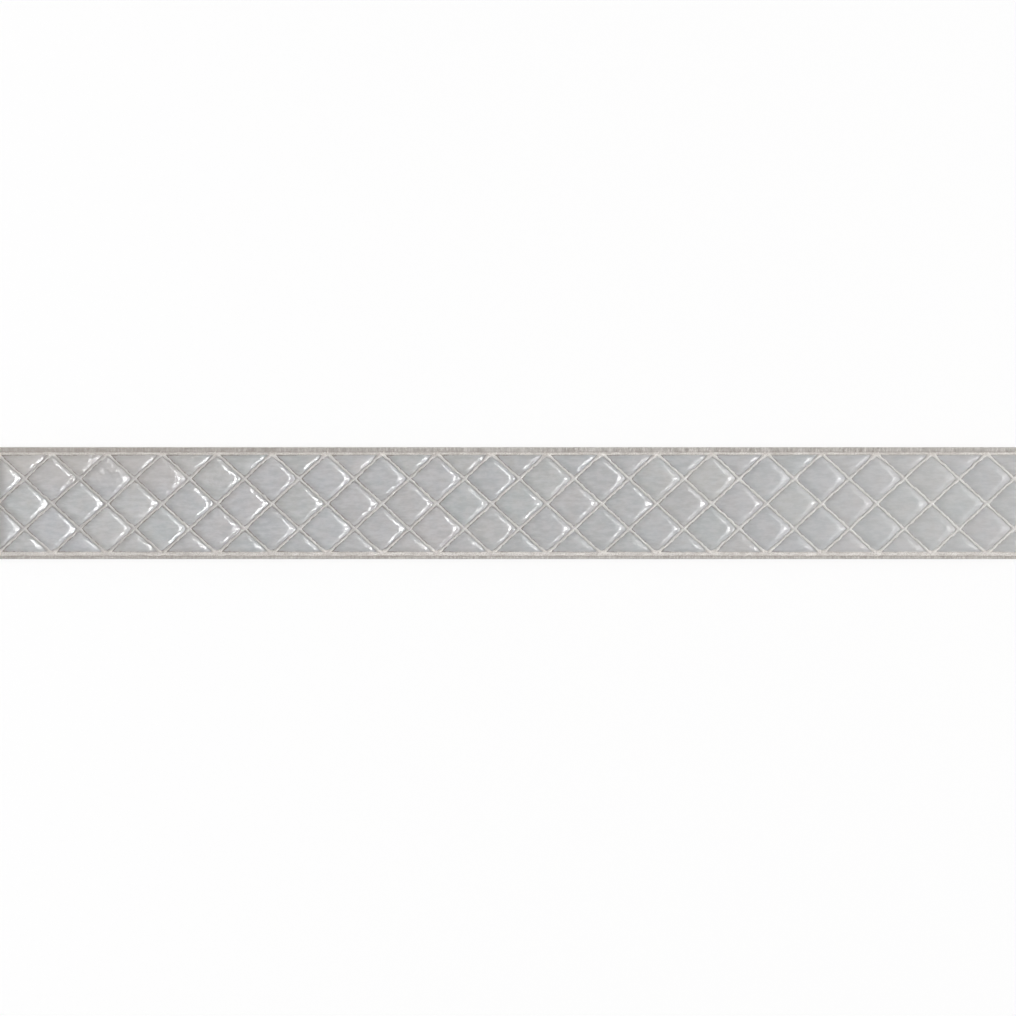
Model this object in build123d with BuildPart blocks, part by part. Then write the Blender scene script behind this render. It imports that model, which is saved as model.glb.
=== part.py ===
from build123d import *
import os
from math import ceil, hypot

# Border tile: a long narrow glazed wall tile, pressed and fired as one piece.
# Its face carries a lattice of thin matte cords between two border cords. Each cell of the
# lattice holds a glossy pillow of glaze, and a crease runs round the pillow beside the cord.
# Frame: X along the tile, Y across it, Z out of the glazed face. The origin is at the middle
# of the back, which lies on Z = 0. Sizes are in millimetres.

# Body
tile_length = 500.0
tile_width = 55.0
rim_level = 8.3  # from the back to the plain rims along both long edges
arris_radius = 0.8  # rounding of the two long upper edges

# Lattice
lozenge_width = 27.03  # from one crossing to the next along the tile
lozenge_rows = 2  # whole lozenges that stand between the border cords
first_crossing = -1.3  # from the left end to the first crossing, so the end cuts a cell
least_cell = 2.0  # a cell with less of its length than this inside the tile is left filled
far_rim = 3.16  # from the far long edge to the middle of its border cord
near_rim = 2.53  # from the near long edge to the middle of its border cord

# Cords, measured across
cord_crest = 0.55  # flat crest of a lattice cord
far_cord_crest = 0.5  # flat crest of the border cord on the far side
near_cord_crest = 1.1  # flat crest of the border cord on the near side
cord_flank = 0.42  # from the edge of a crest to the foot of its flank
cord_rise = 0.55  # crest above the rims
crease_drop = 0.15  # bottom of the crease below the rims

# Pillows, measured from the bottom of the crease
shoulder_run = 0.7
shoulder_rise = 0.3
brow_run = 1.6
brow_rise = 0.5
crown_run = 2.6
crown_rise = 0.6

# How much of each side is cut off at the corners of a cell, from the cord's crest inwards
crest_corner = 0.55
crease_corner = 0.3
shoulder_corner = 0.7
brow_corner = 1.0
crown_corner = 1.4

# Glaze that falls away at the two ends
left_fall_run = 3.0
right_fall_run = 1.2
fall_drop = 0.5  # how far it comes down at the very end

# Keying grooves in the back
groove_count = 4
groove_width = 6.5
groove_pitch = 12.0
groove_depth = 0.8
groove_draft = 0.5  # how much each sloping wall narrows the groove

# Levels above the back
crest_level = rim_level + cord_rise
crease_level = rim_level - crease_drop
shoulder_level = crease_level + shoulder_rise
brow_level = crease_level + brow_rise
crown_level = crease_level + crown_rise

# Lattice, worked out
far_border = tile_width / 2 - far_rim
near_border = near_rim - tile_width / 2
half_wide = lozenge_width / 2
half_high = (far_border - near_border) / (2 * lozenge_rows)
side_distance = half_wide * half_high / hypot(half_wide, half_high)
crossing_x = first_crossing - tile_length / 2
columns = ceil((tile_length - first_crossing) / lozenge_width) + 1


def lozenge_outline(level, inset, corner):
    """A whole cell, drawn in by inset from the middle of its cords."""
    scale = 1 - inset / side_distance
    with BuildSketch(Plane.XY.offset(level)) as outline:
        Polygon(
            (half_wide * scale, 0),
            (0, half_high * scale),
            (-half_wide * scale, 0),
            (0, -half_high * scale),
            align=None,
        )
        chamfer(outline.vertices(), corner)
    return outline.sketch


def half_lozenge_outline(level, inset, border_inset, side, corner):
    """The half of a cell on one side of a border cord: side is 1 on its far side, -1 on its near side."""
    scale = 1 - inset / side_distance
    half_base = half_wide * (scale - border_inset / half_high)
    with BuildSketch(Plane.XY.offset(level)) as outline:
        Polygon(
            (-half_base, side * border_inset),
            (half_base, side * border_inset),
            (0, side * half_high * scale),
            align=None,
        )
        chamfer(outline.vertices(), corner)
    return outline.sketch


# Distances from the middle of a cord, where the bands of a cell begin
crest_edge = cord_crest / 2
crease_edge = crest_edge + cord_flank
shoulder_edge = crease_edge + shoulder_run
brow_edge = crease_edge + brow_run
crown_edge = crease_edge + crown_run



def hollow(pocket_outlines, pillow_outlines):
    """The air in one cell: its pocket, without the pillow that stands in it."""
    with BuildPart() as air:
        add(pocket_outlines)
        loft(ruled=True)
        add(pillow_outlines)
        loft(ruled=True, mode=Mode.SUBTRACT)
    return air.part


def lozenge_hollow():
    """The air in a whole cell."""
    crest = lozenge_outline(crest_level, crest_edge, crest_corner)
    foot = lozenge_outline(crease_level, crease_edge, crease_corner)
    shoulder = lozenge_outline(shoulder_level, shoulder_edge, shoulder_corner)
    brow = lozenge_outline(brow_level, brow_edge, brow_corner)
    crown = lozenge_outline(crown_level, crown_edge, crown_corner)
    return hollow([foot, crest], [foot, shoulder, brow, crown])


def half_hollow(border_crest, side):
    """The air in a half cell beside a border cord with a crest of that width."""

    def outline(level, inset, corner):
        border_inset = inset - crest_edge + border_crest / 2
        return half_lozenge_outline(level, inset, border_inset, side, corner)

    crest = outline(crest_level, crest_edge, crest_corner)
    foot = outline(crease_level, crease_edge, crease_corner)
    shoulder = outline(shoulder_level, shoulder_edge, shoulder_corner)
    brow = outline(brow_level, brow_edge, brow_corner)
    crown = outline(crown_level, crown_edge, crown_corner)
    return hollow([foot, crest], [foot, shoulder, brow, crown])


def row_xs(row):
    """Where the cells of one row are along the tile. Row 0 is on the near border cord."""
    shift = 0.5 if row % 2 == 0 else 0.0
    xs = [crossing_x + (column + shift) * lozenge_width for column in range(columns)]
    reach = tile_length / 2 + half_wide - least_cell
    return [x for x in xs if abs(x) < reach]


def hollows(cell, row):
    """That cell's air at every place in one row."""
    return [Pos(x, near_border + row * half_high) * cell for x in row_xs(row)]


lattice_air = hollows(half_hollow(near_cord_crest, 1), 0)
lattice_air += hollows(half_hollow(far_cord_crest, -1), 2 * lozenge_rows)
for row in range(1, 2 * lozenge_rows):
    lattice_air += hollows(lozenge_hollow(), row)

with BuildPart() as tile:
    # Cross section, with the rims lower than the field, drawn out past both ends
    with BuildSketch(Plane.YZ) as section:
        far_edge = tile_width / 2
        far_foot = far_border + far_cord_crest / 2
        near_foot = near_border - near_cord_crest / 2
        Polygon(
            (-far_edge, 0),
            (far_edge, 0),
            (far_edge, rim_level),
            (far_foot + cord_flank, rim_level),
            (far_foot, crest_level),
            (near_foot, crest_level),
            (near_foot - cord_flank, rim_level),
            (-far_edge, rim_level),
            align=None,
        )
        arrises = section.vertices().filter_by(lambda v: abs(v.X) == far_edge and v.Y > 0)
        fillet(arrises, arris_radius)
        with GridLocations(groove_pitch, 0, groove_count, 1):
            Polygon(
                (-groove_width / 2, 0),
                (groove_width / 2, 0),
                (groove_width / 2 - groove_draft, groove_depth),
                (groove_draft - groove_width / 2, groove_depth),
                align=None,
                mode=Mode.SUBTRACT,
            )
    extrude(amount=tile_length / 2 + lozenge_width, both=True)
    # The cells
    add(lattice_air, mode=Mode.SUBTRACT, clean=False)
    # The ends, cut square, with the glaze falling away towards them
    with BuildSketch(Plane.XZ):
        for side, run in ((-1, left_fall_run), (1, right_fall_run)):
            end = side * tile_length / 2
            beyond = end + side * 2 * lozenge_width
            Polygon(
                (end, -tile_width),
                (beyond, -tile_width),
                (beyond, crest_level + fall_drop),
                (end - side * 2 * run, crest_level + fall_drop),
                (end, crest_level - fall_drop),
                align=None,
            )
    extrude(amount=tile_width, both=True, mode=Mode.SUBTRACT, clean=False)

tile.part.label = "border_tile"
os.makedirs("parts", exist_ok=True)
export_step(tile.part, "parts/border_tile.step")
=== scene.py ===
"""Glazed border tile: pillows of glaze in a lattice of thin matte cords.

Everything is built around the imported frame, in metres, with the glazed face upwards.
"""

import math

import bmesh
import bpy
from mathutils import Matrix, Vector, noise


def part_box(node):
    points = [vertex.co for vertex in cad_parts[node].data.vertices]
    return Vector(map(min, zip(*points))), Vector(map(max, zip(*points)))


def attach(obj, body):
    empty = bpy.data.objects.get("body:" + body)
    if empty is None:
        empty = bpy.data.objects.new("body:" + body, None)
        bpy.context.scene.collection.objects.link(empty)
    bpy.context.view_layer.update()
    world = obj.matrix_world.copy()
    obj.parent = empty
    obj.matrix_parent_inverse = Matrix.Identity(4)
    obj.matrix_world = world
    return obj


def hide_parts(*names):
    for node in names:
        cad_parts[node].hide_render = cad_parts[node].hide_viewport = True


bl_info = {
    "name": "Border Tile",
    "version": (1, 0, 0),
    "blender": (4, 5, 0),
    "location": "3D View > Sidebar > Border Tile",
    "description": "Builds a glazed border tile with a lattice of cords, and its stage",
    "category": "Add Mesh",
}

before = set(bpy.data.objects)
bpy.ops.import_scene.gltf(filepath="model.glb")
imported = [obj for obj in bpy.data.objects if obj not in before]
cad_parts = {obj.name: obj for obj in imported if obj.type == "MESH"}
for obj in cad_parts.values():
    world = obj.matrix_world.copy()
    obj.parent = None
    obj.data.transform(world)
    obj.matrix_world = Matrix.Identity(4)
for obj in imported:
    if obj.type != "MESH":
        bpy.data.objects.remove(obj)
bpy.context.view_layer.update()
TILE_LOW, TILE_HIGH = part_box("border_tile")
MM = 0.001
LEFT_END, RIGHT_END = TILE_LOW.x, TILE_HIGH.x
NEAR_EDGE, FAR_EDGE = TILE_LOW.y, TILE_HIGH.y
TOP = TILE_HIGH.z


def length(name, description, default):
    """A length property, in metres."""
    return bpy.props.FloatProperty(
        name=name, description=description, default=default, unit="LENGTH", precision=5
    )


def colour(name, description, default):
    """A colour property, in linear light."""
    return bpy.props.FloatVectorProperty(
        name=name, description=description, default=default, subtype="COLOR", size=3, min=0, max=1
    )


class TileLattice(bpy.types.PropertyGroup):
    """Where the cords run."""

    pitch: length("Lozenge width", "From one crossing to the next along the tile", 27.03 * MM)
    first_crossing: length("First crossing", "From the left end to the first crossing", -1.3 * MM)
    far_rim: length("Far rim", "From the far edge to the middle of its border cord", 3.16 * MM)
    near_rim: length("Near rim", "From the near edge to the middle of its border cord", 2.53 * MM)
    rows: bpy.props.IntProperty(
        name="Rows", description="Whole lozenges that stand between the border cords", default=2
    )


class TileRelief(bpy.types.PropertyGroup):
    """How high and wide the cords and pillows are."""

    rim_drop: length("Rim drop", "Rims below the crest of the cords", 0.55 * MM)
    field_drop: length("Field drop", "Bottom of the creases below the cords' crest", 0.7 * MM)
    cord_width: length("Cord width", "Lattice cords at their foot", 1.18 * MM)
    far_cord_width: length("Far cord width", "Far border cord at its foot", 1.25 * MM)
    near_cord_width: length("Near cord width", "Near border cord at its foot", 2.0 * MM)
    pillow_rise: length("Pillow rise", "Middle of a pillow above the creases", 0.64 * MM)
    pillow_run: length("Pillow run", "Distance over which a pillow rises", 3.3 * MM)
    corner_round: length("Corner rounding", "Rounding of a pillow's corners", 1.6 * MM)
    left_fall: length("Left fall", "Run of the glaze's fall at the left end", 4.2 * MM)
    right_fall: length("Right fall", "Run of the glaze's fall at the right end", 0.9 * MM)
    fall_drop: length("Fall drop", "How far the glaze comes down at an end", 0.5 * MM)


class TileBack(bpy.types.PropertyGroup):
    """The long edges of the body and the keying grooves in its back."""

    arris: length("Arris", "Rounding of the long upper edges", 0.8 * MM)
    chamfer: length("Chamfer", "Slant along the long lower edges", 0.4 * MM)
    groove_width: length("Groove width", "Keying groove at the back", 6.5 * MM)
    groove_pitch: length("Groove pitch", "From one groove to the next", 12.0 * MM)
    groove_depth: length("Groove depth", "Depth of a keying groove", 0.8 * MM)
    groove_draft: length("Groove draft", "How much each wall narrows the groove", 0.5 * MM)
    groove_count: bpy.props.IntProperty(name="Grooves", description="Keying grooves", default=4)


class TileColours(bpy.types.PropertyGroup):
    """The colours of the glazes and of the fired clay."""

    glaze: colour("Glaze", "Pearl grey of the pillows", (0.445, 0.449, 0.457))
    # This brownish grey is the thin glaze's colour and also the colour of the painted shade in the
    # creases, on the left shoulders and at the left end
    pooled_and_shade: colour("Thin glaze", "Brownish grey in the creases", (0.25, 0.225, 0.205))
    cord: colour("Cords", "Matte pinkish beige of the cords", (0.785, 0.755, 0.720))
    rim: colour("Rims", "Matte brownish grey of the rims", (0.50, 0.475, 0.445))
    clay: colour("Fired clay", "Bare body on the sides and the back", (0.62, 0.50, 0.40))


class Field:
    """A number that varies from point to point, with Python's arithmetic."""

    def __init__(self, tree, socket):
        self.tree = tree
        self.socket = socket

    def math(self, operation, *values):
        node = self.tree.nodes.new("ShaderNodeMath")
        node.operation = operation
        for entry, value in zip(node.inputs, values):
            put(self.tree, entry, value)
        return Field(self.tree, node.outputs[0])

    def __add__(self, other):
        return self.math("ADD", self, other)

    def __radd__(self, other):
        return self.math("ADD", other, self)

    def __sub__(self, other):
        return self.math("SUBTRACT", self, other)

    def __rsub__(self, other):
        return self.math("SUBTRACT", other, self)

    def __mul__(self, other):
        return self.math("MULTIPLY", self, other)

    def __rmul__(self, other):
        return self.math("MULTIPLY", other, self)

    def __truediv__(self, other):
        return self.math("DIVIDE", self, other)

    def __rtruediv__(self, other):
        return self.math("DIVIDE", other, self)

    def __neg__(self):
        return self.math("MULTIPLY", self, -1.0)

    def __abs__(self):
        return self.math("ABSOLUTE", self)

    def __floordiv__(self, other):
        return self.math("FLOOR", self / other)

    def __mod__(self, other):
        return self.math("FLOORED_MODULO", self, other)

    def exp(self):
        return self.math("EXPONENT", self)

    def log(self):
        return self.math("LOGARITHM", self, math.e)

    def sin(self):
        return self.math("SINE", self)

    def root(self):
        return self.math("SQRT", self)

    def at_least(self, other):
        return self.math("MAXIMUM", self, other)

    def at_most(self, other):
        return self.math("MINIMUM", self, other)

    def above(self, other):
        return self.math("GREATER_THAN", self, other)

    def held(self):
        """The number kept between 0 and 1."""
        return self.at_least(0.0).at_most(1.0)

    def smooth(self, low, high):
        """0 below low and 1 above high, with a smooth step between them."""
        share = ((self - low) * (1 / (high - low))).held()
        return share * share * (3.0 - 2.0 * share)


def put(tree, entry, value):
    """Feed a socket with a field, another socket or a plain value."""
    if isinstance(value, Field):
        value = value.socket
    if isinstance(value, bpy.types.NodeSocket):
        tree.links.new(value, entry)
    else:
        entry.default_value = value


def soft_least(distances, blend):
    """The least of several distances, rounded off where two of them are alike."""
    total = 0.0
    for distance in distances:
        total = total + (-(distance / blend)).exp()
    return -(total.log() * blend)


def bell(share):
    """1 at zero, falling away smoothly on both sides of it."""
    return (-share * share).exp()


class Graph:
    """A node tree that is written as function calls."""

    def __init__(self, tree):
        self.tree = tree

    def add(self, kind, settings=None, entries=None):
        """A node of that kind, its settings made first, then the values or links of its sockets."""
        node = self.tree.nodes.new(kind)
        for name, value in (settings or {}).items():
            setattr(node, name, value)
        for name, value in (entries or {}).items():
            put(self.tree, node.inputs[name], value)
        return node

    def field(self, socket):
        return Field(self.tree, socket)

    def attribute(self, name):
        """A stored number, read back in a geometry tree or in a material."""
        if self.tree.bl_idname == "GeometryNodeTree":
            settings, entries = {"data_type": "FLOAT"}, {"Name": name}
            node = self.add("GeometryNodeInputNamedAttribute", settings, entries)
            return self.field(node.outputs["Attribute"])
        return self.field(self.add("ShaderNodeAttribute", {"attribute_name": name}).outputs["Fac"])

    def noise(self, vector, per_metre, detail=2.0, roughness=0.5):
        """Smooth noise from 0 to 1 with that many waves in a metre."""
        node = self.add(
            "ShaderNodeTexNoise",
            {"noise_dimensions": "3D"},
            {"Vector": vector, "Scale": per_metre, "Detail": detail, "Roughness": roughness},
        )
        return self.field(node.outputs["Fac"])

    def vector(self, x, y, z):
        return self.add("ShaderNodeCombineXYZ", None, {"X": x, "Y": y, "Z": z}).outputs["Vector"]

    def parts(self, vector):
        """The three numbers of a vector."""
        node = self.add("ShaderNodeSeparateXYZ", None, {"Vector": vector})
        return [self.field(out) for out in node.outputs]

    def stretched(self, vector, x, y, z):
        """A vector scaled along each axis."""
        entries = {0: vector, 1: (x, y, z)}
        node = self.add("ShaderNodeVectorMath", {"operation": "MULTIPLY"}, entries)
        return node.outputs["Vector"]

    def mix(self, share, first, second):
        """One colour changing into another by a share."""
        node = self.add("ShaderNodeMix", {"data_type": "RGBA"}, {"Factor": share})
        for name, value in (("A", first), ("B", second)):
            entry = next(s for s in node.inputs if s.name == name and s.type == "RGBA")
            if not isinstance(value, bpy.types.NodeSocket):
                value = (*value, 1.0)
            put(self.tree, entry, value)
        return next(s for s in node.outputs if s.type == "RGBA")

    def layered(self, base, *layers):
        """A colour with others laid over it in order, each by its own share."""
        for share, shade in layers:
            base = self.mix(share, base, shade)
        return base


# Lattice measures that several pieces share


def far_border(lattice):
    return FAR_EDGE - lattice.far_rim


def near_border(lattice):
    return NEAR_EDGE + lattice.near_rim


def half_high(lattice):
    """Half the height of a lozenge."""
    return (far_border(lattice) - near_border(lattice)) / (2 * lattice.rows)


def side_distance(lattice):
    """From the middle of a lozenge to the middle of the cord along its side."""
    half_wide = lattice.pitch / 2
    return half_wide * half_high(lattice) / math.hypot(half_wide, half_high(lattice))


def columns(lattice):
    return math.ceil((RIGHT_END - LEFT_END - lattice.first_crossing) / lattice.pitch) + 1


# Geometry node trees


class ShapeTree(Graph):
    """A geometry node tree with named number inputs."""

    def __init__(self, name, inputs):
        super().__init__(bpy.data.node_groups.new(name, "GeometryNodeTree"))
        self.values = inputs
        face = self.tree.interface
        face.new_socket(name="Geometry", in_out="OUTPUT", socket_type="NodeSocketGeometry")
        self.entries = {}
        for label, value in inputs.items():
            kind = "NodeSocketInt" if isinstance(value, int) else "NodeSocketFloat"
            self.entries[label] = face.new_socket(name=label, in_out="INPUT", socket_type=kind)
        group = self.tree.nodes.new("NodeGroupInput")
        self.given = {label: self.field(group.outputs[label]) for label in inputs}

    def store(self, geometry, name, value):
        node = self.add(
            "GeometryNodeStoreNamedAttribute",
            {"data_type": "FLOAT", "domain": "POINT"},
            {"Geometry": geometry, "Name": name, "Value": value},
        )
        return node.outputs["Geometry"]

    def index(self):
        return self.field(self.add("GeometryNodeInputIndex").outputs["Index"])

    def position(self):
        return self.add("GeometryNodeInputPosition").outputs["Position"]

    def place(self, geometry, position):
        entries = {"Geometry": geometry, "Position": position}
        return self.add("GeometryNodeSetPosition", None, entries).outputs["Geometry"]

    def realize(self, geometry):
        node = self.add("GeometryNodeRealizeInstances", None, {"Geometry": geometry})
        return node.outputs["Geometry"]

    def points(self, count, position):
        node = self.add("GeometryNodePoints", None, {"Count": count, "Position": position})
        return node.outputs["Points"]

    def copies(self, points, shape, scale=(1.0, 1.0, 1.0)):
        """One copy of the shape on each point."""
        entries = {"Points": points, "Instance": shape, "Scale": scale}
        return self.add("GeometryNodeInstanceOnPoints", None, entries).outputs["Instances"]

    def random(self, low, high, identity, seed):
        node = self.add("FunctionNodeRandomValue", {"data_type": "FLOAT"})
        for label, value in (("Min", low), ("Max", high), ("ID", identity), ("Seed", seed)):
            entry = next(s for s in node.inputs if s.name == label and s.enabled)
            put(self.tree, entry, value)
        return self.field(next(s for s in node.outputs if s.enabled))

    def wander(self, x, y, layer, per_metre, detail=2.0, roughness=0.5):
        """Noise about zero over the face. Another layer has another pattern of the same kind."""
        return self.noise(self.vector(x, y, layer), per_metre, detail, roughness) - 0.5

    def finish(self, geometry, material):
        """Send the geometry out, with its instances made real and its material set."""
        entries = {"Geometry": self.realize(geometry), "Material": material}
        dressed = self.add("GeometryNodeSetMaterial", None, entries)
        group = self.tree.nodes.new("NodeGroupOutput")
        self.tree.links.new(dressed.outputs["Geometry"], group.inputs["Geometry"])

    def grow(self, name):
        """A plain mesh object made by this tree."""
        piece = empty_piece(name)
        modifier = piece.modifiers.new(self.tree.name, "NODES")
        modifier.node_group = self.tree
        for label, value in self.values.items():
            modifier[self.entries[label].identifier] = value
        shown = piece.evaluated_get(bpy.context.evaluated_depsgraph_get())
        mesh = bpy.data.meshes.new_from_object(shown)
        piece.modifiers.remove(modifier)
        piece.data = mesh
        mesh.name = name
        return piece


# Meshes

CUT_TOLERANCE = 1e-7  # points this near a cut count as on it


def empty_piece(name):
    """An object in the scene with nothing in its mesh yet."""
    piece = bpy.data.objects.new(name, bpy.data.meshes.new(name))
    bpy.context.scene.collection.objects.link(piece)
    return piece


def trim_ends(bm):
    """Cut away what reaches past the two ends of the tile."""
    for x, outward in ((LEFT_END, -1), (RIGHT_END, 1)):
        bmesh.ops.bisect_plane(
            bm,
            geom=bm.verts[:] + bm.edges[:] + bm.faces[:],
            dist=CUT_TOLERANCE,
            plane_co=(x, 0, 0),
            plane_no=(outward, 0, 0),
            clear_outer=True,
        )


def open_edges(bm):
    return [edge for edge in bm.edges if edge.is_boundary]


def finish_mesh(piece, bm, sharp_angle=50.0):
    """Give the piece its mesh, faces outwards and smooth but for edges past an angle in degrees."""
    bmesh.ops.recalc_face_normals(bm, faces=bm.faces[:])
    for face in bm.faces:
        face.smooth = True
    bm.to_mesh(piece.data)
    bm.free()
    piece.data.set_sharp_from_angle(angle=math.radians(sharp_angle))


def seat(piece):
    """The piece rides on the tile's body and stands for its solid."""
    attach(piece, "root")
    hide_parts("border_tile")


# Pillows of glaze

# What differs from cell to cell: name, least, most, and what is added to the tree's seed
CELL_DRAWS = (
    ("tint", 0.0, 1.0, 0.0),  # cool or warm glaze
    ("lean_x", -1.0, 1.0, 11.0),  # tilt of the crown along the tile
    ("lean_y", -1.0, 1.0, 23.0),  # tilt of the crown across the tile
    ("fullness", 0.94, 1.05, 37.0),  # share of the usual rise
    ("tone", 0.0, 1.0, 51.0),  # light or deep glaze
    ("hue", 0.0, 1.0, 67.0),  # greenish or pinkish glaze
)


def pillow_patch(tree):
    """A square patch, its lines drawn closer together towards its sides."""
    count = tree.given["Density"]
    patch = tree.add(
        "GeometryNodeMeshGrid",
        None,
        {"Size X": 1.0, "Size Y": 1.0, "Vertices X": count, "Vertices Y": count},
    ).outputs["Mesh"]
    flat_x, flat_y, _ = tree.parts(tree.position())
    patch = tree.store(patch, "across", (flat_x * math.pi).sin() * 0.5)
    return tree.store(patch, "along", (flat_y * math.pi).sin() * 0.5)


def pillow_cells(tree, half):
    """A point in the middle of each cell, with what differs from cell to cell."""
    given = tree.given
    index = tree.index()
    row, column = index // given["Columns"], index % given["Columns"]
    if half:
        shift, level = 0.5, row * given["Border Span"]
    else:
        shift, level = (row % 2.0) * 0.5, row + 1.0
    cell_x = given["First Crossing"] + (column + shift) * given["Lozenge Width"]
    cell_y = given["Near Border"] + level * given["Half Height"]
    cells = tree.points(given["Columns"] * given["Rows"], tree.vector(cell_x, cell_y, 0.0))
    where_x, where_y, _ = tree.parts(tree.position())
    cells = tree.store(cells, "cell_x", where_x)
    cells = tree.store(cells, "cell_y", where_y)
    cells = tree.store(cells, "cell_side", 1.0 - 2.0 * (tree.index() // given["Columns"]))
    for label, least, most, offset in CELL_DRAWS:
        drawn = tree.random(least, most, tree.index(), given["Seed"] + offset)
        cells = tree.store(cells, label, drawn)
    return cells


def spread_in_cell(tree, half):
    """Where the patch's points lie from the middle of their cell, and how far inside its edges.

    The half cells on the far side are worked out as if they were on the near side.
    """
    given = tree.given
    half_wide, high = given["Lozenge Width"] * 0.5, given["Half Height"]
    shrink = 1.0 - given["Edge Inset"] / given["Side Distance"]
    across, along = tree.attribute("across"), tree.attribute("along")
    if half:
        near = tree.attribute("cell_side").above(0.0)
        border_inset = given["Near Edge Inset"] * near + given["Far Edge Inset"] * (1.0 - near)
        base = half_wide * (shrink - border_inset / high)
        climb = along + 0.5
        local_x = 2.0 * across * base * (1.0 - climb)
        local_y = border_inset + climb * (high * shrink - border_inset)
        distances = [local_y - border_inset]
        sides = ((1.0, 1.0), (-1.0, 1.0))
    else:
        local_x = (across - along) * half_wide * shrink
        local_y = (across + along) * high * shrink
        distances = []
        sides = ((1.0, 1.0), (-1.0, 1.0), (1.0, -1.0), (-1.0, -1.0))
    for side_x, side_y in sides:
        reach = 1.0 - local_x * side_x / half_wide - local_y * side_y / high
        distances.append((given["Side Distance"] * reach - given["Edge Inset"]).at_least(0.0))
    return local_x, local_y, distances


def pillow_tree(name, lattice, relief, material, half, seed):
    """Pillows in the whole cells, or in the half cells along both border cords."""
    tree = ShapeTree(
        name,
        {
            "Lozenge Width": lattice.pitch,
            "Half Height": half_high(lattice),
            "Side Distance": side_distance(lattice),
            "First Crossing": LEFT_END + lattice.first_crossing,
            "Near Border": near_border(lattice),
            "Columns": columns(lattice),
            "Rows": 2 if half else 2 * lattice.rows - 1,
            "Border Span": 2 * lattice.rows,
            "Density": 36,
            "Edge Inset": relief.cord_width * 0.40,
            "Near Edge Inset": relief.near_cord_width * 0.40,
            "Far Edge Inset": relief.far_cord_width * 0.38,
            "Foot": TOP - relief.field_drop,
            "Least Lift": 0.02 * MM,
            "Rise": relief.pillow_rise,
            "Run": relief.pillow_run,
            "Corner Round": relief.corner_round,
            "Left Fall": relief.left_fall,
            "Right Fall": relief.right_fall,
            "Right Fall Share": 0.15,
            "Fall Drop": relief.fall_drop,
            "Slack": 0.9 * MM,
            "Flutter": 0.7 * MM,
            "Drift": 0.10 * MM,
            "Ripple": 0.014 * MM,
            "Lean": 0.003,
            "Slip": 0.42 * MM,
            "Slip Run": 0.5 * MM,
            "Merge Distance": 2e-6,
            "Seed": seed,
        },
    )
    given = tree.given
    pillows = tree.realize(tree.copies(pillow_cells(tree, half), pillow_patch(tree)))
    local_x, local_y, distances = spread_in_cell(tree, half)
    turn = tree.attribute("cell_side") if half else 1.0
    spot_x = tree.attribute("cell_x") + local_x * turn
    spot_y = tree.attribute("cell_y") + local_y * turn

    # Kept for the material: the way in from the edge, and how much a point is on the left, where
    # the material paints shade
    depth = soft_least(distances, given["Corner Round"])
    nearest = distances[0]
    for distance in distances[1:]:
        nearest = nearest.at_most(distance)
    pillows = tree.store(pillows, "inset", 0.65 * nearest + 0.35 * depth)
    leftness = 0.5 - local_x * turn / (given["Lozenge Width"] * 0.5) * 0.9
    pillows = tree.store(pillows, "shaded_side", leftness.held())

    # The glaze swells up from its edge, a little unevenly, and is nearly level in the middle
    slack = tree.wander(spot_x, spot_y, 0.0, 190.0, 2.0, 0.55)
    flutter = tree.wander(spot_x, spot_y, 0.7, 620.0, 2.0, 0.55)
    depth = (depth + slack * given["Slack"] + flutter * given["Flutter"]).at_least(0.0)
    short_of_crown = 1.0 - (depth / given["Run"]).at_most(1.0)
    swell = 1.0 - short_of_crown * short_of_crown
    drift = tree.wander(spot_x, spot_y, 0.0, 150.0)
    ripple = tree.wander(spot_x, spot_y, 0.0, 480.0)
    lean = local_x * tree.attribute("lean_x") + local_y * tree.attribute("lean_y")
    uneven = drift * given["Drift"] + ripple * given["Ripple"] + lean * given["Lean"]
    lift = given["Rise"] * tree.attribute("fullness") * swell + swell * uneven

    # It rounds down at the two ends of the tile, short of a full quarter circle
    from_left = (spot_x - LEFT_END) / given["Left Fall"]
    from_right = (RIGHT_END - spot_x) / given["Right Fall"]
    fall = 0.0
    for from_end, share in ((from_left, 1.0), (from_right, given["Right Fall Share"])):
        short = (1.0 - from_end).held()
        fall = fall + share * (1.0 - (1.0 - short * short * 0.96).root())
    lift = (lift - fall * given["Fall Drop"]).at_least(given["Least Lift"])

    # Its edge wavers beside the cord
    slip = (-(depth / given["Slip Run"])).exp() * given["Slip"]
    x = spot_x + tree.wander(spot_x, spot_y, 0.31, 420.0, 2.0, 0.6) * slip
    y = spot_y + tree.wander(spot_x, spot_y, 0.57, 420.0, 2.0, 0.6) * slip
    pillows = tree.place(pillows, tree.vector(x, y, given["Foot"] + lift))
    entries = {"Geometry": pillows, "Distance": given["Merge Distance"]}
    merged = tree.add("GeometryNodeMergeByDistance", None, entries)
    tree.finish(merged.outputs["Geometry"], material)
    return tree


def close_pillows(piece, field_level):
    """Cut the pillows at the tile's ends and take their edges down to the body, closed below."""
    bm = bmesh.new()
    bm.from_mesh(piece.data)
    trim_ends(bm)
    skirt = bmesh.ops.extrude_edge_only(bm, edges=open_edges(bm))["geom"]
    for item in skirt:
        if isinstance(item, bmesh.types.BMVert):
            item.co.z = field_level
    bmesh.ops.holes_fill(bm, edges=open_edges(bm), sides=0)
    finish_mesh(piece, bm)


# Cords


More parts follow.
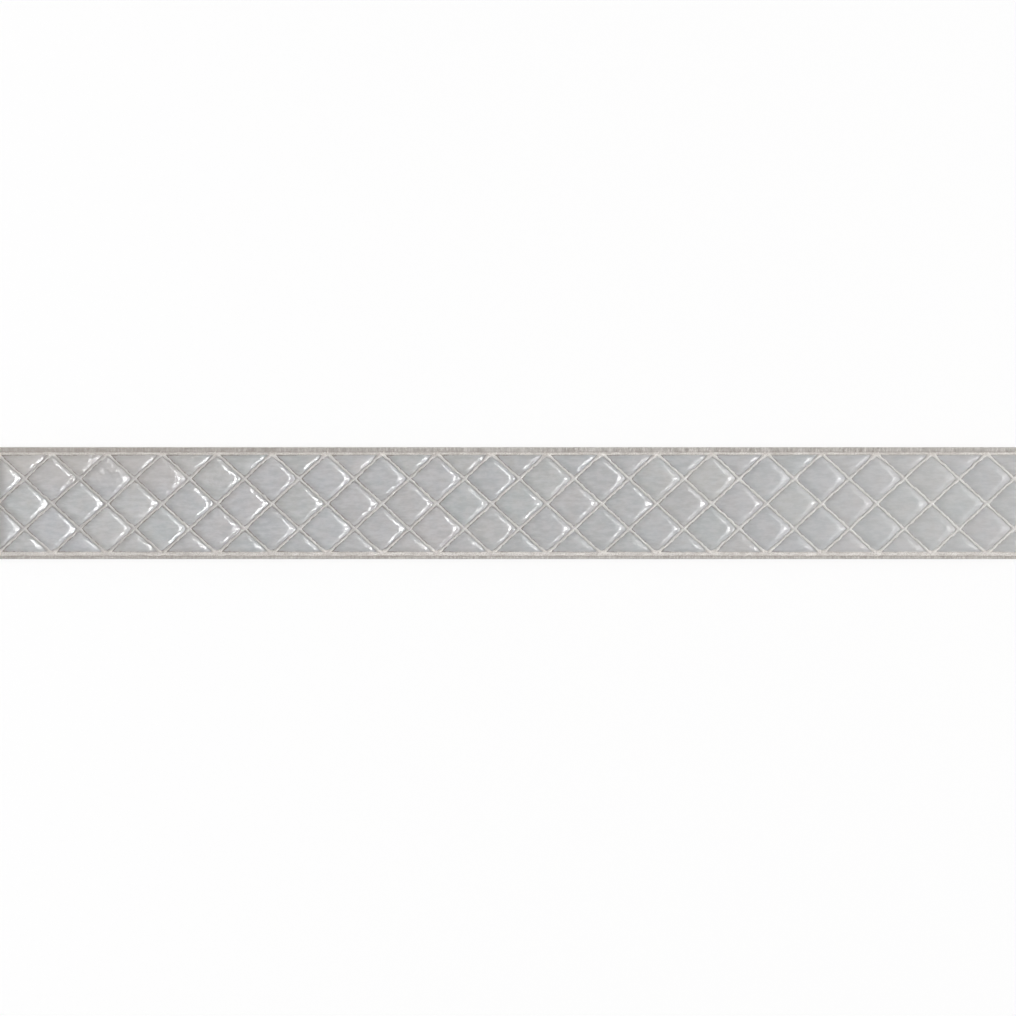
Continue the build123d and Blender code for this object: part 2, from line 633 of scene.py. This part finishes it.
def cord_tree(
    name, lattice, level, material, lines, width, height, step, seed, start, run, spacing
):
    """Cords of one length, laid side by side. run is the vector along the first of them.

    Cords that don't run along the tile are laid again in the other slant, as a lattice.
    """
    crossed = run[1] != 0.0
    unevenness = 1.0 if crossed else 0.4
    inputs = {
        "Lines": lines,
        "Spacing": spacing,
        "Start X": start[0],
        "Start Y": start[1],
        "Run X": run[0],
        "Run Y": run[1],
        "Width": width,
        "Height": height,
        "Level": level,
        "Step": step,
        "Sway": 0.55 * MM * unevenness,
        "Shiver": 1.15 * MM * unevenness,
        "Beading": 1.64 * unevenness,
        "Swelling": 0.24,
        "Profile Points": 9,
        "Seed": seed,
    }
    if crossed:
        inputs |= {
            "Near Border": near_border(lattice),
            "Half Height": half_high(lattice),
            "Border Span": 2 * lattice.rows,
            "Crossing Flare": 0.50,
            "Crossing Reach": 1.2 * MM,
            "Border Flare": 0.75,
            "Border Reach": 2.1 * MM,
        }
    tree = ShapeTree(name, inputs)
    given = tree.given

    # The lines, divided into short steps
    end = tree.vector(given["Run X"], given["Run Y"], 0.0)
    line = tree.add(
        "GeometryNodeCurvePrimitiveLine", {"mode": "POINTS"}, {"Start": (0, 0, 0), "End": end}
    )
    line = tree.add(
        "GeometryNodeResampleCurve",
        {"mode": "LENGTH"},
        {"Curve": line.outputs["Curve"], "Length": given["Step"]},
    ).outputs["Curve"]
    index = tree.index()
    if crossed:
        family, number = index % 2.0, index // 2.0
        start_x = given["Start X"] + number * given["Spacing"] - given["Run X"] * (1.0 - family)
        starts = tree.vector(start_x, given["Start Y"], 0.0)
        slant = tree.vector(1.0 - 2.0 * family, 1.0, 1.0)
        laid = tree.copies(tree.points(given["Lines"] * 2, starts), line, slant)
    else:
        starts = tree.vector(given["Start X"], given["Start Y"] + index * given["Spacing"], 0.0)
        laid = tree.copies(tree.points(given["Lines"], starts), line)
    cords = tree.realize(laid)

    # They stray a little, bead, and are broader where they cross or meet a border cord
    x, y, _ = tree.parts(tree.position())
    offset = given["Seed"] * 0.37
    moved = []
    for value, layer in ((x, 0.0), (y, 5.0)):
        sway = tree.wander(x, y, offset + layer, 85.0)
        shiver = tree.wander(x, y, offset + layer + 2.0, 380.0, 2.0, 0.6)
        moved.append(value + sway * given["Sway"] + shiver * given["Shiver"])
    beads = tree.wander(x, y, offset + 9.0, 430.0, 2.0, 0.65)
    swells = tree.wander(x, y, offset + 13.0, 120.0, 1.0)
    thick = 1.0 + beads * given["Beading"] + swells * given["Swelling"]
    if crossed:
        rows_up = (y - given["Near Border"]) / given["Half Height"]
        off_crossing = abs((rows_up + 0.5) % 1.0 - 0.5) * given["Half Height"]
        off_border = rows_up.at_most(given["Border Span"] - rows_up) * given["Half Height"]
        thick = thick + given["Crossing Flare"] * bell(off_crossing / given["Crossing Reach"])
        thick = thick + given["Border Flare"] * bell(off_border / given["Border Reach"])
    cords = tree.store(cords, "thick", thick)
    cords = tree.place(cords, tree.vector(moved[0], moved[1], given["Level"]))

    # Half a circle is swept along them. It is drawn downwards, and the sweep turns it upwards
    upright = tree.add("GeometryNodeSetCurveNormal", {"mode": "Z_UP"}, {"Curve": cords})
    arc = tree.add(
        "GeometryNodeCurveArc",
        {"mode": "RADIUS"},
        {
            "Resolution": given["Profile Points"],
            "Radius": 1.0,
            "Start Angle": math.pi,
            "Sweep Angle": math.pi,
        },
    )
    entries = {"Geometry": arc.outputs["Curve"], "Cyclic": True}
    ring = tree.add("GeometryNodeSetSplineCyclic", None, entries)
    size = tree.vector(given["Width"] * 0.5, given["Height"], 1.0)
    entries = {"Geometry": ring.outputs["Geometry"], "Scale": size}
    profile = tree.add("GeometryNodeTransform", None, entries)
    swept = tree.add(
        "GeometryNodeCurveToMesh",
        None,
        {
            "Curve": upright.outputs["Curve"],
            "Profile Curve": profile.outputs["Geometry"],
            "Scale": tree.attribute("thick"),
            "Fill Caps": True,
        },
    )

    # Where a cord is broader it isn't higher too
    x, y, z = tree.parts(tree.position())
    thickness = tree.attribute("thick")
    rise = (z - given["Level"]) / thickness * thickness.at_most(1.0)
    level_crest = tree.place(swept.outputs["Mesh"], tree.vector(x, y, given["Level"] + rise))
    tree.finish(level_crest, material)
    return tree


def close_cords(piece):
    """Cut the cords at the tile's ends and close the cuts."""
    bm = bmesh.new()
    bm.from_mesh(piece.data)
    trim_ends(bm)
    bmesh.ops.holes_fill(bm, edges=open_edges(bm), sides=0)
    finish_mesh(piece, bm)


# Materials

# Colours that the finishes vary towards, in linear light
COOL_GLAZE, WARM_GLAZE = (0.412, 0.440, 0.455), (0.502, 0.472, 0.448)
GREENISH_GLAZE, PINKISH_GLAZE = (0.436, 0.462, 0.446), (0.468, 0.446, 0.478)
# The second colour here is painted light, which makes the glaze paler towards the right end
DEEP_GLAZE, PAINTED_LIGHT_GLAZE = (0.34, 0.345, 0.35), (0.56, 0.56, 0.56)
LIGHT_BRUSHING, DARK_BRUSHING = (0.53, 0.532, 0.536), (0.375, 0.375, 0.378)
GLAZE_SPECK = (0.38, 0.365, 0.355)
TOASTED_GLAZE = (0.50, 0.455, 0.415)
CORD_PATCH, CORD_GRAIN = (0.59, 0.552, 0.522), (0.46, 0.415, 0.38)
# Painted shade and painted light for the cords towards their left and right ends
LEFT_CORD_SHADE, RIGHT_CORD_LIGHT = (0.50, 0.47, 0.44), (0.82, 0.80, 0.77)
LATTICE_CORD = (0.575, 0.573, 0.568)
# Painted shade and painted light for the lattice cords towards their left and right ends
LEFT_LATTICE_CORD_SHADE, RIGHT_LATTICE_CORD_LIGHT = (0.46, 0.445, 0.43), (0.80, 0.79, 0.76)
RIM_MOTTLE, RIM_CLOUD = (0.40, 0.372, 0.345), (0.50, 0.485, 0.465)
LIGHT_RIM_STREAK, DARK_RIM_STREAK = (0.66, 0.635, 0.605), (0.29, 0.265, 0.24)
# Painted shade for the rims' creases and for their left end
RIM_CREASE_SHADE, LEFT_RIM_SHADE = (0.30, 0.265, 0.235), (0.305, 0.276, 0.247)
CLAY_GRIT, CLAY_BLOTCH = (0.56, 0.44, 0.345), (0.66, 0.55, 0.455)


def blank_material(name):
    """A node material with no nodes yet, and the graph to write it in."""
    made = bpy.data.materials.new(name)
    made.use_nodes = True
    made.node_tree.nodes.clear()
    return made, Graph(made.node_tree)


def principled(name, constants):
    """A material with a Principled shader, and the Object coordinates to paint it by."""
    made, graph = blank_material(name)
    shader = graph.add("ShaderNodeBsdfPrincipled", None, constants)
    graph.add("ShaderNodeOutputMaterial", None, {"Surface": shader.outputs["BSDF"]})
    return made, graph, shader, graph.add("ShaderNodeTexCoord").outputs["Object"]


def dress(graph, shader, shade, roughness, relief):
    """Feed the shader. The relief is in millimetres and becomes a bump."""
    height = graph.add("ShaderNodeBump", None, {"Height": relief, "Distance": MM})
    put(graph.tree, shader.inputs["Base Color"], shade)
    put(graph.tree, shader.inputs["Roughness"], roughness)
    put(graph.tree, shader.inputs["Normal"], height.outputs["Normal"])


def glaze_material(colours):
    """Glossy pearl-grey glaze, thinner and browner where it runs into the creases, with painted
    shade there and on the left of each cell.
    """
    constants = {"IOR": 1.62, "Coat Weight": 0.8, "Coat Roughness": 0.30}
    made, graph, shader, place = principled("pearl_glaze", constants)
    x, y, _ = graph.parts(place)
    cloud = graph.noise(place, 150.0, 3.0, 0.6)
    brushed = graph.noise(graph.stretched(place, 0.35, 1.0, 1.0), 620.0, 3.0, 0.6)
    speck = graph.noise(place, 2600.0, 2.0, 0.7)
    streak = graph.noise(place, 700.0, 3.0, 0.65)

    # The glaze of the crowns, which differs from cell to cell and along the tile, with painted
    # light making it paler towards the right end
    warmth = (graph.attribute("tint") * 0.8 + (cloud - 0.5) * 2.2 + 0.1).held()
    cast = graph.mix(graph.attribute("hue"), GREENISH_GLAZE, PINKISH_GLAZE)
    top_left = (1.0 - x.smooth(-0.19, -0.10)) * y.smooth(0.002, 0.016)
    clean = graph.layered(
        graph.mix(warmth, COOL_GLAZE, WARM_GLAZE),
        (0.25, colours.glaze),
        (0.32, cast),
        (0.20 * graph.attribute("tone"), DEEP_GLAZE),
        (0.58 * brushed.smooth(0.42, 0.66), LIGHT_BRUSHING),
        (0.42 * (1.0 - brushed.smooth(0.32, 0.50)), DARK_BRUSHING),
        (0.14 * speck.smooth(0.55, 0.75), GLAZE_SPECK),
        # Painted light: the glaze gets paler towards the right end
        (0.24 * x.smooth(0.0, 0.2), PAINTED_LIGHT_GLAZE),
        (0.34 * top_left, TOASTED_GLAZE),
    )

    # Thin, browner glaze in the creases, with painted shade over it: more on the left side of each
    # cell, up the left shoulders, towards the left end and at the very left end
    shaded_side = graph.attribute("shaded_side")
    ragged = graph.attribute("inset") + (streak - 0.5) * 1.3 * MM
    # Painted shade: the crease is darker on the left side of each cell
    in_crease = (1.0 - ragged.smooth(0.08 * MM, 0.52 * MM)) * (0.28 + 0.80 * shaded_side)
    # Painted shade: the creases are darker towards the left end
    in_crease = in_crease * (1.0 - 0.42 * x.smooth(-0.2, 0.2))
    # Painted shade on the left shoulder of each cell, fading towards the right end
    on_shoulder = (1.0 - ragged.smooth(0.1 * MM, 3.4 * MM)) * (0.04 + 0.25 * shaded_side)
    on_shoulder = on_shoulder * (1.0 - 0.85 * x.smooth(-0.22, 0.2))
    # Painted shade at the very left end of the tile
    at_end = 0.42 * (1.0 - x.smooth(LEFT_END - 0.5 * MM, LEFT_END + 5.0 * MM))
    thin_glaze_and_shade = (in_crease + on_shoulder + at_end).held()
    shade = graph.mix(thin_glaze_and_shade, clean, colours.pooled_and_shade)

    # Duller in the creases and towards the right end
    dull = 0.11 * (1.0 - ragged.smooth(0.0, 0.9 * MM)) + 0.14 * x.smooth(0.0, 0.24) + 0.04 * cloud

    # Orange peel, pinholes, and a curdled patch in the top row near the left end
    peel = graph.noise(place, 750.0)
    pits = graph.noise(place, 1500.0, 1.0).smooth(0.70, 0.80)
    wave = graph.noise(place, 430.0)
    curdled = x.smooth(-0.236, -0.222) * (1.0 - x.smooth(-0.15, -0.11)) * y.smooth(0.004, 0.012)
    curdled = curdled * graph.noise(place, 75.0, 2.0, 0.6).smooth(0.46, 0.60)
    relief = peel * 0.028 + speck * 0.003 - pits * 0.02 + wave * curdled * 0.34
    dress(graph, shader, shade, 0.07 + dull, relief)
    return made


def cord_material(colours):
    """Matte, slightly grainy raised line, with painted shade towards the left end and painted light
    towards the right end.
    """
    made, graph, shader, place = principled("matte_cord", {"IOR": 1.45})
    x, y, _ = graph.parts(place)
    grain = graph.noise(place, 1500.0, 3.0, 0.65)
    patch = graph.noise(place, 260.0, 3.0, 0.6)
    between_borders = 1.0 - abs(y).smooth(22.8 * MM, 23.6 * MM)
    shade = graph.layered(
        colours.cord,
        (patch.smooth(0.3, 0.75), CORD_PATCH),
        (0.88 * grain.smooth(0.47, 0.66), CORD_GRAIN),
        # Painted shade towards the left end and painted light towards the right end, more on the
        # lattice cords
        (0.44 * (1.0 - x.smooth(LEFT_END, 0.0)), LEFT_CORD_SHADE),
        (0.14 * x.smooth(-0.15, 0.1), RIGHT_CORD_LIGHT),
        (0.55 * between_borders, LATTICE_CORD),
        (0.62 * between_borders * (1.0 - x.smooth(LEFT_END, -0.05)), LEFT_LATTICE_CORD_SHADE),
        (0.34 * between_borders * x.smooth(-0.05, 0.22), RIGHT_LATTICE_CORD_LIGHT),
    )
    dress(graph, shader, shade, 0.62 + 0.2 * grain, grain * 0.05)
    return made


def body_material(lattice, colours):
    """Mottled matte glaze on the rims and arrises, with bare fired clay on the sides and back."""
    made, graph, shader, place = principled("rim_and_clay", {"IOR": 1.48})
    x, y, z = graph.parts(place)

    # The rims, with painted shade in the creases outside the border cords and towards the left end
    streak = graph.noise(graph.stretched(place, 1.0, 0.30, 1.0), 850.0, 4.0, 0.7)
    mottle = graph.noise(graph.stretched(place, 1.0, 0.7, 1.0), 330.0, 3.0, 0.62)
    cloud = graph.noise(place, 45.0)
    off_far_crease = abs(y - (far_border(lattice) + 0.74 * MM))
    off_near_crease = abs(y - (near_border(lattice) - 1.12 * MM))
    in_crease = 1.0 - off_far_crease.at_most(off_near_crease).smooth(0.05 * MM, 0.42 * MM)
    far_left = (1.0 - x.smooth(LEFT_END, 0.05)) * (0.5 + 0.5 * y.smooth(-0.01, 0.02))
    rim = graph.layered(
        colours.rim,
        (mottle.smooth(0.34, 0.66), RIM_MOTTLE),
        (0.88 * streak.smooth(0.50, 0.63), LIGHT_RIM_STREAK),
        (0.75 * (1.0 - streak.smooth(0.35, 0.48)), DARK_RIM_STREAK),
        (0.30 * cloud.smooth(0.35, 0.65), RIM_CLOUD),
        # Painted shade in the creases beside the border cords
        (0.50 * in_crease, RIM_CREASE_SHADE),
        # Painted shade towards the left end, stronger on the far rim
        (0.62 * far_left, LEFT_RIM_SHADE),
    )

    # The clay, which the glaze laps over in an uneven line
    grit = graph.noise(place, 1900.0, 4.0, 0.7)
    blotch = graph.noise(place, 90.0, 3.0, 0.6)
    clay = graph.layered(
        colours.clay,
        (grit.smooth(0.35, 0.7), CLAY_GRIT),
        (0.5 * blotch.smooth(0.45, 0.7), CLAY_BLOTCH),
    )
    lap = graph.noise(graph.stretched(place, 1.0, 1.0, 0.2), 160.0, 3.0, 0.6) - 0.5
    bare = 1.0 - (z + lap * 2.4 * MM).smooth(TOP - 2.6 * MM, TOP - 2.1 * MM)
    shade = graph.mix(bare, rim, clay)
    relief = (streak * 0.035 + mottle * 0.05) * (1.0 - bare) + grit * 0.10 * bare
    dress(graph, shader, shade, 0.52 + 0.36 * bare + 0.1 * mottle, relief)
    return made


def floor_material():
    """White paper, bright where it is seen or reflected, that keeps the tile's shadow."""
    made, graph = blank_material("white_floor")
    paper = graph.add("ShaderNodeBsdfDiffuse", None, {"Color": (0.9, 0.9, 0.9, 1.0)})
    bright = graph.add("ShaderNodeEmission", None, {"Color": (1, 1, 1, 1), "Strength": 1.0})
    rays = graph.add("ShaderNodeLightPath").outputs
    seen = graph.field(rays["Is Camera Ray"])
    seen = seen.at_least(graph.field(rays["Is Glossy Ray"]))
    seen = seen.at_least(graph.field(rays["Is Transmission Ray"]))
    mixed = graph.add(
        "ShaderNodeMixShader",
        None,
        {0: seen * 0.90, 1: paper.outputs["BSDF"], 2: bright.outputs["Emission"]},
    )
    graph.add("ShaderNodeOutputMaterial", None, {"Surface": mixed.outputs["Shader"]})
    return made


def once(name, build, *values):
    """A material that is made the first time it is asked for."""
    return bpy.data.materials.get(name) or build(*values)


# Body

BODY_STATIONS = 260  # cross sections along the body, less one
ARRIS_STEPS = 6
WORN_BAND = 1.2 * MM  # how far from a long upper edge the body isn't quite true
WEAR = 0.05 * MM


def rounded_edge(y, z, radius, start):
    """Points round a quarter circle about (y, z), from an angle in quarter turns."""
    points = []
    for step in range(ARRIS_STEPS + 1):
        angle = math.pi / 2 * (start + step / ARRIS_STEPS)
        points.append((y + radius * math.cos(angle), z + radius * math.sin(angle)))
    return points


def body_profile(lattice, relief, back):
    """The body's cross section as (y, z) points, once round from the near edge of the back."""
    rim, field = TOP - relief.rim_drop, TOP - relief.field_drop
    arris, half_groove = back.arris, back.groove_width / 2
    points = [(NEAR_EDGE, back.chamfer), (NEAR_EDGE + back.chamfer, 0.0)]
    for number in range(back.groove_count):
        middle = (number - (back.groove_count - 1) / 2) * back.groove_pitch
        left, right = middle - half_groove, middle + half_groove
        points += [(left, 0.0), (left + back.groove_draft, back.groove_depth)]
        points += [(right - back.groove_draft, back.groove_depth), (right, 0.0)]
    points += [(FAR_EDGE - back.chamfer, 0.0), (FAR_EDGE, back.chamfer)]
    points += rounded_edge(FAR_EDGE - arris, rim - arris, arris, 0)
    points += [(far_border(lattice), rim), (far_border(lattice), field)]
    points += [(near_border(lattice), field), (near_border(lattice), rim)]
    points += rounded_edge(NEAR_EDGE + arris, rim - arris, arris, 1)
    return points


def worn(x, y, z, rim):
    """y, brought in a little where it is beside a long upper edge."""
    if z <= rim - WORN_BAND or abs(y) <= FAR_EDGE - WORN_BAND:
        return y
    inward = WEAR * max(0.0, noise.noise((x * 180, y * 40, z * 40)) + 0.5)
    return y - math.copysign(inward, y)


def build_body(lattice, relief, back, made):
    """The fired body, with long edges that aren't quite true."""
    profile = body_profile(lattice, relief, back)
    rim = TOP - relief.rim_drop
    bm = bmesh.new()
    rings = []
    for station in range(BODY_STATIONS + 1):
        x = LEFT_END + (RIGHT_END - LEFT_END) * station / BODY_STATIONS
        rings.append([bm.verts.new((x, worn(x, y, z, rim), z)) for y, z in profile])
    for before, after in zip(rings, rings[1:]):
        for k in range(len(profile)):
            following = (k + 1) % len(profile)
            bm.faces.new((before[k], before[following], after[following], after[k]))
    bm.faces.new(rings[0])
    bm.faces.new(reversed(rings[-1]))
    piece = empty_piece("tile_body")
    finish_mesh(piece, bm, 35.0)
    piece.data.materials.append(made)
    return piece


# Operators


class BuildBody(bpy.types.Operator):
    """Build the fired body with its rims and keyed back"""

    bl_idname = "border_tile.body"
    bl_label = "Body"

    def execute(self, context):
        scene = context.scene
        lattice, relief, back = scene.tile_lattice, scene.tile_relief, scene.tile_back
        made = once("rim_and_clay", body_material, lattice, scene.tile_colours)
        seat(build_body(lattice, relief, back, made))
        return {"FINISHED"}


class BuildPillows(bpy.types.Operator):
    """Build the pillows of glaze in the whole and half cells"""

    bl_idname = "border_tile.pillows"
    bl_label = "Glaze pillows"

    def execute(self, context):
        scene = context.scene
        lattice, relief = scene.tile_lattice, scene.tile_relief
        made = once("pearl_glaze", glaze_material, scene.tile_colours)
        for name, half, seed in (("glaze_pillows", False, 4), ("border_pillows", True, 9)):
            piece = pillow_tree(name, lattice, relief, made, half, seed).grow(name)
            close_pillows(piece, TOP - relief.field_drop)
            seat(piece)
        return {"FINISHED"}


class BuildCords(bpy.types.Operator):
    """Build the lattice cords and the two border cords"""

    bl_idname = "border_tile.cords"
    bl_label = "Cords"

    def execute(self, context):
        scene = context.scene
        lattice, relief = scene.tile_lattice, scene.tile_relief
        made = once("matte_cord", cord_material, scene.tile_colours)
        near, far = near_border(lattice), far_border(lattice)

        def lay(name, **measures):
            level = TOP - relief.field_drop
            piece = cord_tree(name, lattice, level, made, **measures).grow(name)
            close_cords(piece)
            seat(piece)

        lay(
            "lattice_cords",
            lines=columns(lattice) + lattice.rows,
            width=relief.cord_width,
            height=relief.field_drop * 0.97,
            step=0.5 * MM,
            seed=3,
            start=(LEFT_END + lattice.first_crossing, near),
            run=(lattice.rows * lattice.pitch, far - near),
            spacing=lattice.pitch,
        )
        overrun = MM
        for name, y, width, seed in (
            ("near_border_cord", near, relief.near_cord_width, 5),
            ("far_border_cord", far, relief.far_cord_width, 8),
        ):
            lay(
                name,
                lines=1,
                width=width,
                height=relief.field_drop * 0.99,
                step=0.4 * MM,
                seed=seed,
                start=(LEFT_END - overrun, y),
                run=(RIGHT_END - LEFT_END + 2 * overrun, 0.0),
                spacing=0.0,
            )
        return {"FINISHED"}


# Stage

WORLD_STRENGTH = 0.525
FLOOR_HALF_WIDTH = 3.0
FLOOR_GAP = 0.02 * MM  # below the back, so that the two don't share a plane

# Softboxes: name, place, point it looks at, width and height, watts, colour, spread in degrees
OVER_LEFT, FURTHER_LEFT = (-1.54, 0.0, 0.0), (-2.06, 0.0, 0.0)
WHITE, COOL_WHITE, WARM_WHITE = (1.0, 0.99, 1.0), (0.98, 0.99, 1.0), (1.0, 0.99, 0.98)
SOFTBOXES = (
    ("key", (1.95, 0.0, 8.0), OVER_LEFT, (1.9, 1.7), 7.4, WHITE, 24.0),
    ("near_side", (1.65, -2.2, 8.0), FURTHER_LEFT, (1.4, 1.45), 7.4, COOL_WHITE, 24.0),
    ("far_side", (1.65, 2.2, 8.0), FURTHER_LEFT, (1.4, 1.45), 6.6, COOL_WHITE, 24.0),
    ("fill", (1.3, 0.1, 0.95), (0.25, 0.0, 0.0), (1.0, 1.0), 12.2, WARM_WHITE, 180.0),
)

# The camera looks straight down from high up
CAMERA_HEIGHT = 10.0  # above the face
CAMERA_Y = -2.39 * MM
SEEN_SHARE = 0.999  # of the tile's length, across the frame
SENSOR_WIDTH = 36.0  # in millimetres


def area_lamp(name, place, aim, size, power, shade, spread):
    """A rectangular softbox that looks at a point."""
    light = bpy.data.lights.new(name, "AREA")
    light.shape = "RECTANGLE"
    light.size, light.size_y = size
    light.energy = power
    light.color = shade
    light.spread = math.radians(spread)
    lamp = bpy.data.objects.new(name, light)
    bpy.context.scene.collection.objects.link(lamp)
    lamp.location = place
    lamp.rotation_euler = (Vector(aim) - Vector(place)).to_track_quat("-Z", "Y").to_euler()


class BuildStage(bpy.types.Operator):
    """Build the floor, the softboxes, the world and the camera"""

    bl_idname = "border_tile.stage"
    bl_label = "Stage"

    def execute(self, context):
        scene = context.scene
        floor = empty_piece("floor")
        bm = bmesh.new()
        bmesh.ops.create_grid(bm, x_segments=1, y_segments=1, size=FLOOR_HALF_WIDTH)
        bm.to_mesh(floor.data)
        bm.free()
        floor.data.transform(Matrix.Translation((0.0, 0.0, -FLOOR_GAP)))
        floor.data.materials.append(floor_material())

        scene.world = bpy.data.worlds.new("studio")
        scene.world.use_nodes = True
        background = scene.world.node_tree.nodes["Background"]
        background.inputs["Color"].default_value = (1.0, 1.0, 1.0, 1.0)
        background.inputs["Strength"].default_value = WORLD_STRENGTH
        for softbox in SOFTBOXES:
            area_lamp(*softbox)

        camera = bpy.data.objects.new("camera", bpy.data.cameras.new("camera"))
        scene.collection.objects.link(camera)
        scene.camera = camera
        camera.location = (0.0, CAMERA_Y, TOP + CAMERA_HEIGHT)
        camera.data.sensor_width = SENSOR_WIDTH
        seen_width = SEEN_SHARE * (RIGHT_END - LEFT_END)
        camera.data.lens = SENSOR_WIDTH * CAMERA_HEIGHT / seen_width
        scene.view_settings.view_transform = "Standard"
        return {"FINISHED"}


class TilePanel(bpy.types.Panel):
    """The tile's sizes, colours and build steps"""

    bl_idname = "VIEW3D_PT_border_tile"
    bl_label = "Border Tile"
    bl_space_type = "VIEW_3D"
    bl_region_type = "UI"
    bl_category = "Border Tile"

    def draw(self, context):
        for group_name in GROUPS:
            group = getattr(context.scene, group_name)
            box = self.layout.box()
            for name in group.__annotations__:
                box.prop(group, name)
        for step in STEPS:
            self.layout.operator(step.bl_idname)


STEPS = (BuildBody, BuildPillows, BuildCords, BuildStage)
GROUPS = {
    "tile_lattice": TileLattice,
    "tile_relief": TileRelief,
    "tile_back": TileBack,
    "tile_colours": TileColours,
}


def register():
    for cls in (*GROUPS.values(), *STEPS, TilePanel):
        bpy.utils.register_class(cls)
    for name, group in GROUPS.items():
        setattr(bpy.types.Scene, name, bpy.props.PointerProperty(type=group))


def unregister():
    for name in GROUPS:
        delattr(bpy.types.Scene, name)
    for cls in reversed((*GROUPS.values(), *STEPS, TilePanel)):
        bpy.utils.unregister_class(cls)


def main():
    register()
    for step in STEPS:
        group, name = step.bl_idname.split(".")
        getattr(getattr(bpy.ops, group), name)()


if __name__ == "__main__":
    main()
